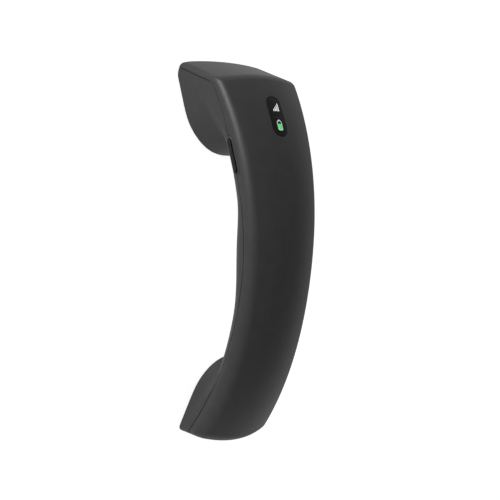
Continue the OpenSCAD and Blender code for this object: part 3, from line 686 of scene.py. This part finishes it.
def glow(name, colour, strength):
    """A lit symbol of the display."""
    m, tree, shader = nodes_of(name)
    where = tree.nodes.new("ShaderNodeTexCoord").outputs["Object"]
    shader.inputs["Base Color"].default_value = (*colour, 1)
    shader.inputs["Emission Color"].default_value = (*colour, 1)
    uneven = noise(tree, where, GLOW_NOISE)
    light = spread(tree, uneven, strength * (1 - GLOW_SPREAD), strength * (1 + GLOW_SPREAD))
    tree.links.new(light, shader.inputs["Emission Strength"])
    shader.inputs["Roughness"].default_value = GLOW_ROUGH
    return m


SHELL = finish("shell_plastic", (0.034, 0.034, 0.0345), 0.45, grain=0.16, bump=0.006, specular=0.42)
KEY_SURROUND = finish("key_surround_plastic", (0.03, 0.03, 0.031), 0.42, grain=0.16, bump=0.004)
KEY_BLACK = finish("key_plastic", (0.003, 0.003, 0.0032), 0.42, grain=0.12, bump=0.004, specular=0.25)
LENS = finish("window_plastic", (0.003, 0.0034, 0.0036), 0.2, grain=0.5, bump=0.0005, specular=0.3)
ICON_WHITE = glow("icon_white", (0.8, 0.82, 0.82), 0.75)
ICON_GREY = glow("icon_grey", (0.55, 0.57, 0.58), 0.55)
ICON_GREEN = glow("icon_green", (0.04, 0.55, 0.1), 0.85)
# Painted highlight: a lighter strip stands in for the light caught by a shallow groove across the lens,
# which is not cut
GROOVE_HIGHLIGHT = finish("groove_painted_highlight", (0.03, 0.032, 0.034), 0.4, grain=0.5)
BLACK = finish("black_plastic", (0.015, 0.015, 0.016), 0.5)
BOARD = finish("board_laminate", (0.02, 0.12, 0.05), 0.35, grain=0.3, coat=0.2)
STEEL = finish("steel", (0.55, 0.55, 0.57), 0.3, metal=1.0, grain=0.1)
CAN = finish("can_metal", (0.62, 0.62, 0.64), 0.35, metal=1.0, grain=0.2)
POUCH = finish("pouch_foil", (0.5, 0.51, 0.54), 0.42, metal=0.9, grain=0.8, bump=0.03)
GOLD = finish("gold_plate", (0.78, 0.55, 0.2), 0.25, metal=1.0, grain=0.1)
FOAM = finish("foam", (0.028, 0.028, 0.03), 0.9, grain=0.35, bump=0.12)
CLOTH = finish("sound_cloth", (0.016, 0.016, 0.017), 0.85, grain=0.2, bump=0.08)
PAPER = finish("cone_film", (0.05, 0.05, 0.052), 0.6, grain=0.3)
RUBBER = finish("soft_rubber", (0.02, 0.02, 0.021), 0.62, grain=0.15, bump=0.012)
CERAMIC = finish("antenna_ceramic", (0.72, 0.69, 0.62), 0.4, grain=0.25)
IVORY = finish("socket_plastic", (0.76, 0.73, 0.66), 0.45, grain=0.2)

SLOT_FINISH = {
    "shell": SHELL, "window": LENS, "black_plastic": BLACK, "board": BOARD, "switch": BLACK, "cone": PAPER,
    "steel": STEEL, "foam": FOAM, "cloth": CLOTH, "can": CAN, "soft_rubber": RUBBER,
    "antenna_ceramic": CERAMIC, "socket_plastic": IVORY, "pouch": POUCH, "gold": GOLD,
}


def dress_nodes():
    """Gives every kept CAD node the finish of its material slot."""
    slots = {s["node"]: s["material_slot"] for s in frame["record"]["subparts"]}
    for name, node in frame["nodes"].items():
        node.data.materials.clear()
        node.data.materials.append(SLOT_FINISH[slots[name]])
        for polygon in node.data.polygons:
            polygon.use_smooth = False


def piece(name, points, faces, material, body, normals=None, replaces=()):
    """A visible piece from points and faces of the design frame."""
    mesh = bpy.data.meshes.new(name)
    mesh.from_pydata(place(points).tolist(), [], faces.tolist())
    mesh.materials.append(material)
    mesh.polygons.foreach_set("use_smooth", [True] * len(mesh.polygons))
    if normals is not None:
        mesh.normals_split_custom_set_from_vertices(normals.tolist())
    made = bpy.data.objects.new(name, mesh)
    bpy.context.scene.collection.objects.link(made)
    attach(made, body)
    if replaces:
        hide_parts(*replaces)
    return made


def patch_on(where, us, vs, depth_axis, start):
    """Grid of skin points over a rectangle of a local frame, seen along one of its axes."""
    u, v = np.meshgrid(us, vs, indexing="ij")
    q = np.zeros(u.shape + (3,))
    first, second = [k for k in range(3) if k != depth_axis]
    q[..., first], q[..., second], q[..., depth_axis] = u, v, start
    out = outward_of(where, depth_axis)
    points = root(world(where, q), out, PATCH_REACH).reshape(-1, 3)
    rows, cols = u.shape
    a = (np.arange(rows - 1)[:, None] * cols + np.arange(cols - 1)).ravel()
    b, c, d = a + cols, a + cols + 1, a + 1
    faces = np.concatenate([np.stack([a, b, c], 1), np.stack([a, c, d], 1)])
    facing = np.cross(points[faces[:, 1]] - points[faces[:, 0]], points[faces[:, 2]] - points[faces[:, 0]])
    wrong = (facing * out).sum(1).mean() < 0
    return points, faces[:, ::-1] if wrong else faces


def outward_of(where, depth_axis):
    """Way out of the body along local z, or against local y."""
    return where[1][2] if depth_axis == 2 else -where[1][1]


def make_covers():
    """Back cover and front cover, cut from one skin along the parting line."""
    points, faces = skin()
    window = (window_outline, WINDOW_LIP, WINDOW_WALL)
    slot = (lambda p: key_outline(p, KEY_GAP + KEY_RIM + FRAME_GAP), SLOT_LIP, SLOT_WALL)
    seam = (lambda p: back_side(p) - SEAM_GAP / 2, SEAM_LIP, SEAM_WALL)

    def near_opening(p):
        return (np.abs(window_outline(p)) < OPENING_BAND) | (np.abs(slot[0](p)) < OPENING_BAND)
    p, f, n = carve(*refine(points, faces, near_opening, SPLITS), [seam, slot, window])
    piece("back_cover", p, f, SHELL, "handset", n, ("back_shell",))
    ear, mouth = at_ear_rim(0), at_mouth_rim(0)
    microphone_hole = round_field(mouth, -MICROPHONE_AT, 0, MIC_HOLE_R)
    rims = [(on_rim(mouth_rim, microphone_hole), HOLE_LIP, HOLE_WALL)]
    for side in (-1, 1):
        ear_plug = round_field(ear, EAR_SCREW[0], side * EAR_SCREW[1], PLUG_R)
        mouth_plug = round_field(mouth, -MOUTH_SCREW[0], side * MOUTH_SCREW[1], PLUG_R)
        contact = box_field(mouth, -CONTACT_AT, side * CONTACT_Y, CONTACT_SIZE, CONTACT_CORNER)
        rims.append((on_rim(ear_rim, ear_plug), PLUG_LIP, POCKET_WALL))
        rims.append((on_rim(mouth_rim, mouth_plug), PLUG_LIP, POCKET_WALL))
        rims.append((on_rim(mouth_rim, contact), HOLE_LIP, POCKET_WALL))
    plate = round_field(ear, RECEIVER_AT, 0, DISH_D / 2 + PLATE_RIM)
    rims.append((on_rim(ear_rim, plate), 0.0, 0.0))

    def near_small(p):
        return np.min([field(p) for field, _, _ in rims[:-1]], axis=0) < HOLE_BAND
    front = (lambda p: -back_side(p) - SEAM_GAP / 2, SEAM_LIP, SEAM_WALL)
    p, f, n = carve(*refine(points, faces, near_small, SPLITS), [front, slot] + rims)
    piece("front_cover", p, f, SHELL, "handset", n, ("front_shell",))


def on_rim(rim, field):
    """Limits a rim feature to the rim side."""
    return lambda p: np.maximum(field(p), rim(p[..., 0], p[..., 2])[1] - RIM_SIDE)


def make_ear_plate():
    """The dish that the ear rests in, with its sound holes."""
    ring_r = DISH_D / 2
    arc = (ring_r**2 + DISH_DEPTH**2) / (2 * DISH_DEPTH)
    turns = np.radians(np.arange(0, 360, PLATE_TURN))
    level = DISH_DEPTH - arc + np.sqrt(np.maximum(arc**2 - PLATE_R**2, 0))
    level = np.where(PLATE_R > ring_r + PLATE_RIM, PLATE_LEVEL, np.maximum(level, PLATE_FLAT))
    level = np.repeat(level[:, None], len(turns), 1)
    grid = np.stack([np.outer(PLATE_R, np.cos(turns)), np.outer(PLATE_R, np.sin(turns)), level], -1)
    rows, size = grid.shape[:2]
    a, b = ring_pairs(rows, size)
    faces = np.concatenate([np.stack([a, b, a + size], 1), np.stack([b, b + size, a + size], 1)])
    points = grid.reshape(-1, 3)
    holes = [(0.0, 0.0)]
    for k in range(1, SOUND_HOLES + 1):
        turn = 2 * math.pi * k / SOUND_HOLES
        holes.append((SOUND_RING_D / 2 * math.cos(turn), SOUND_RING_D / 2 * math.sin(turn)))
    away = [np.hypot(points[:, 0] - x, points[:, 1] - y) for x, y in holes]
    field = np.min(away, axis=0) - SOUND_HOLE_D / 2
    points, faces, on_cut = keep(points, faces, field)
    edges = border(faces, on_cut)
    ids, where = np.unique(edges, return_inverse=True)
    where = where.reshape(-1, 2)
    lower = points[ids] + np.array([0, 0, PLATE_WALL])
    base = len(points)
    a, b = ids[where[:, 0]], ids[where[:, 1]]
    c, d = base + where[:, 0], base + where[:, 1]
    faces = np.concatenate([faces, np.stack([b, a, c], 1), np.stack([b, c, d], 1)])
    rim = at_ear_rim(RECEIVER_AT)
    points = world(rim, np.concatenate([points, lower]))
    for _ in range(PLATE_PASSES):
        points = points + np.maximum(outside(points) + PLATE_INSET, 0)[:, None] * rim[1][2]
    piece("ear_plate", points, faces, SHELL, "handset")


def spans(half, rays):
    """Evenly spread places from -half to half, along both sides of a patch."""
    return [np.linspace(-h, h, n) for h, n in zip(half, rays)]


def make_window():
    """The lens over the status display."""
    points, faces = patch_on(WINDOW, *spans(LENS_HALF, LENS_RAYS), 2, LENS_START)
    lens = (lambda p: -window_outline(p) - FRAME_GAP, LENS_LIP, LENS_WALL)
    p, f, n = carve(points, faces, [lens], raised=-LENS_INSET)
    piece("window_lens", p, f, LENS, "handset", n, ("display_window",))


def make_key():
    """The frame round the volume key, and the key, which rocks with its body."""
    points, faces = patch_on(KEY, *spans(KEY_HALF, KEY_RAYS), 1, KEY_START)
    outer = (lambda p: -key_outline(p, KEY_GAP + KEY_RIM), FRAME_LIP, FRAME_WALL)
    inner = (lambda p: key_outline(p, KEY_GAP), FRAME_HOLE_LIP, SLOT_WALL)
    p, f, n = carve(points, faces, [outer, inner], raised=FRAME_PROUD)
    piece("key_surround", p, f, KEY_SURROUND, "handset", n, ("key_frame",))
    top = (lambda p: -key_outline(p, 0.0), KEY_LIP, KEY_WALL)
    p, f, n = carve(points, faces, [top], raised=KEY_PROUD)
    piece("volume_rocker", p, f, KEY_BLACK, "key", n, ("volume_key",))


# Status icons, in millimetres of the window: u along the handle to the mouth end, v across
BARS_AT, BAR_STEP, BAR_WIDTH, BAR_HEIGHTS = (-2.9, -1.5), 1.05, 0.5, (1.2, 2.2, 3.3, 4.4)
BATTERY_AT, BATTERY_SIZE, BATTERY_LINE = (5.3, 0.1), (5.4, 3.1), 0.36
BATTERY_POWER, BATTERY_TURNS = 5, 65
TERMINAL_FROM, TERMINAL_TO, TERMINAL_HALF = 0.55, 0.05, 0.55
LEVEL_GAP, LEVEL_LENGTH, LEVEL_HALF = 0.1, 3.2, 1.05
# Painted highlight of the groove across the lens: its span along the window, and half its length across
DIVIDER_U, DIVIDER_HALF = (0.6, 0.75), 3.6
ICON_RISE, ICON_START = 0.035, 1.0


def lens_point(u, v, rise):
    """Points of the window's surface, raised by a little."""
    start = world(WINDOW, np.stack([u, v, np.full_like(u, ICON_START)], -1))
    on = root(start, WINDOW[1][2], PATCH_REACH)
    return on + normals_of(on) * (rise - LENS_INSET)


def flat_icon(name, parts, material):
    """Thin sheets that follow the lens: each part is a grid of (u, v) corners."""
    points, faces = [], []
    for grid in parts:
        rows, cols = grid.shape[:2]
        base = sum(len(p) for p in points)
        points.append(lens_point(grid[..., 0].ravel(), grid[..., 1].ravel(), ICON_RISE))
        a = base + (np.arange(rows - 1)[:, None] * cols + np.arange(cols - 1)).ravel()
        faces.append(np.stack([a, a + cols, a + cols + 1, a + 1], 1))
    return piece(name, np.concatenate(points), np.concatenate(faces), material, "handset")


def bar_grid(u0, u1, v0, v1):
    """Rectangle of 5 by 3 corners, which follows the lens."""
    u, v = np.meshgrid(np.linspace(u0, u1, 5), np.linspace(v0, v1, 3), indexing="ij")
    return np.stack([u, v], -1)


def ring_grid(inner, outer, turns):
    """Band between two outlines given as functions of the turn."""
    t = np.radians(turns)
    return np.stack([np.stack(inner(t), -1), np.stack(outer(t), -1)], 0)


def make_icons():
    """Signal bars, a battery with its level, and between them a painted highlight where a shallow groove
    crosses the lens.
    """
    bars = []
    for k, height in enumerate(BAR_HEIGHTS):
        v = BARS_AT[1] + k * BAR_STEP
        bars.append(bar_grid(BARS_AT[0] - height, BARS_AT[0], v, v + BAR_WIDTH))
    flat_icon("signal_bars", bars, ICON_WHITE)

    at_u, at_v = BATTERY_AT

    def outline(inset):
        half_l, half_w = BATTERY_SIZE[0] / 2 - inset, BATTERY_SIZE[1] / 2 - inset

        def curve(turn):
            c, s = np.cos(turn), np.sin(turn)
            k = (np.abs(c) ** BATTERY_POWER + np.abs(s) ** BATTERY_POWER) ** (-1 / BATTERY_POWER)
            return at_u + half_l * c * k, at_v + half_w * s * k
        return curve
    case = ring_grid(outline(BATTERY_LINE), outline(0), np.linspace(0, 360, BATTERY_TURNS))
    end = at_u - BATTERY_SIZE[0] / 2
    terminal = bar_grid(end - TERMINAL_FROM, end - TERMINAL_TO, at_v - TERMINAL_HALF, at_v + TERMINAL_HALF)
    flat_icon("battery_outline", [case, terminal], ICON_GREY)
    low = at_u + BATTERY_SIZE[0] / 2 - BATTERY_LINE - LEVEL_GAP
    level = bar_grid(low - LEVEL_LENGTH, low, at_v - LEVEL_HALF, at_v + LEVEL_HALF)
    flat_icon("battery_level", [level], ICON_GREEN)
    # Painted highlight: a lighter sheet on the lens where a shallow groove crosses it
    flat_icon("groove_painted_highlight_strip", [bar_grid(*DIVIDER_U, -DIVIDER_HALF, DIVIDER_HALF)], GROOVE_HIGHLIGHT)


# Camera, in the design frame
CAMERA_AT = np.array([38.93, -353.99, 445.37])
CAMERA_FORWARD = Vector((0.08795, 0.6168, -0.78224))
CAMERA_UP = Vector((-0.99589, 0.0374, -0.08248))
CAMERA_LENS = 77.01

# Light of the room: (height above the horizon as a sine, strength), seen by the object only
ROOM_LIGHT = ((0.0, 0.8), (1.0, 0.3), (0.22, 0.55), (0.55, 0.31))

# Floor: its half size in metres, and its added light as the camera sees it and as a surface mirrors it
FLOOR_HALF, FLOOR_WHITE = 3, 0.86
FLOOR_GLOW, FLOOR_MIRRORED = 0.8, 0.3
FLOOR_NOISE, FLOOR_ROUGH = 60, (0.5, 0.56)

# Lamp at the ear end: place and size in metres, power in watts
SOFTBOX_AT, SOFTBOX_SIZE, SOFTBOX_POWER = (-0.72, -1.0, 0.12), (0.7, 0.35), 12.0
SOFTBOX_TARGET = (0, 0, 0.03)


def make_camera():
    """The photograph's view of the handset, from above its left side."""
    data = bpy.data.cameras.new("camera")
    data.sensor_width, data.lens = 36.0, CAMERA_LENS
    data.clip_start, data.clip_end = 0.01, 20.0
    camera = bpy.data.objects.new("camera", data)
    bpy.context.scene.collection.objects.link(camera)
    z = -CAMERA_FORWARD.normalized()
    x = CAMERA_UP.cross(z).normalized()
    turn = Matrix((x, z.cross(x), z)).transposed().to_4x4()
    camera.matrix_world = Matrix.Translation(Vector(place(CAMERA_AT))) @ turn
    bpy.context.scene.camera = camera


def make_softbox():
    """A soft lamp that faces the handset."""
    data = bpy.data.lights.new("softbox_ear_side", "AREA")
    data.shape, data.energy = "RECTANGLE", SOFTBOX_POWER
    data.size, data.size_y = SOFTBOX_SIZE
    light = bpy.data.objects.new("softbox_ear_side", data)
    light.location = SOFTBOX_AT
    light.rotation_mode = "QUATERNION"
    facing = Vector(SOFTBOX_TARGET) - Vector(SOFTBOX_AT)
    light.rotation_quaternion = facing.to_track_quat("-Z", "Y")
    bpy.context.scene.collection.objects.link(light)


def make_stage():
    """A plain pale floor."""
    mesh = bpy.data.meshes.new("floor")
    corners = [(x * FLOOR_HALF, y * FLOOR_HALF, 0) for x, y in ((-1, -1), (1, -1), (1, 1), (-1, 1))]
    mesh.from_pydata(corners, [], [(0, 1, 2, 3)])
    floor = bpy.data.objects.new("floor", mesh)
    bpy.context.scene.collection.objects.link(floor)
    m, tree, shader = nodes_of("floor_paint")
    where = tree.nodes.new("ShaderNodeTexCoord").outputs["Object"]
    shader.inputs["Base Color"].default_value = (FLOOR_WHITE, FLOOR_WHITE, FLOOR_WHITE, 1)
    gloss = spread(tree, noise(tree, where, FLOOR_NOISE), *FLOOR_ROUGH)
    tree.links.new(gloss, shader.inputs["Roughness"])
    shader.inputs["Emission Color"].default_value = (1, 1, 1, 1)
    path = tree.nodes.new("ShaderNodeLightPath")
    mirrored = tree.nodes.new("ShaderNodeMath")
    mirrored.operation = "MULTIPLY"
    mirrored.inputs[1].default_value = FLOOR_MIRRORED
    added = tree.nodes.new("ShaderNodeMath")
    added.operation = "MULTIPLY_ADD"
    added.inputs[1].default_value = FLOOR_GLOW
    tree.links.new(path.outputs["Is Glossy Ray"], mirrored.inputs[0])
    tree.links.new(path.outputs["Is Camera Ray"], added.inputs[0])
    tree.links.new(mirrored.outputs["Value"], added.inputs[2])
    tree.links.new(added.outputs["Value"], shader.inputs["Emission Strength"])
    mesh.materials.append(m)


def make_world():
    """White to the camera. For the object: a bright band along the horizon and a dim ceiling."""
    world_data = bpy.data.worlds.new("studio")
    bpy.context.scene.world = world_data
    world_data.use_nodes = True
    tree = world_data.node_tree
    tree.nodes.clear()
    where = tree.nodes.new("ShaderNodeTexCoord").outputs["Generated"]
    parts = tree.nodes.new("ShaderNodeSeparateXYZ")
    tree.links.new(where, parts.inputs["Vector"])
    ramp = tree.nodes.new("ShaderNodeValToRGB")
    ramp.color_ramp.interpolation = "EASE"
    for k, (height, value) in enumerate(ROOM_LIGHT):
        stop = ramp.color_ramp.elements[k] if k < 2 else ramp.color_ramp.elements.new(height)
        stop.position, stop.color = height, (value, value, value, 1)
    tree.links.new(parts.outputs["Z"], ramp.inputs["Fac"])
    seen = tree.nodes.new("ShaderNodeBackground")
    seen.inputs["Color"].default_value = (1, 1, 1, 1)
    room = tree.nodes.new("ShaderNodeBackground")
    tree.links.new(ramp.outputs["Color"], room.inputs["Color"])
    path = tree.nodes.new("ShaderNodeLightPath")
    mix = tree.nodes.new("ShaderNodeMixShader")
    out = tree.nodes.new("ShaderNodeOutputWorld")
    tree.links.new(path.outputs["Is Camera Ray"], mix.inputs["Fac"])
    tree.links.new(room.outputs["Background"], mix.inputs[1])
    tree.links.new(seen.outputs["Background"], mix.inputs[2])
    tree.links.new(mix.outputs["Shader"], out.inputs["Surface"])


bpy.context.scene.view_settings.view_transform = "Standard"
dress_nodes()
make_camera()
make_world()
make_stage()
make_softbox()
make_covers()
make_ear_plate()
make_window()
make_key()
make_icons()
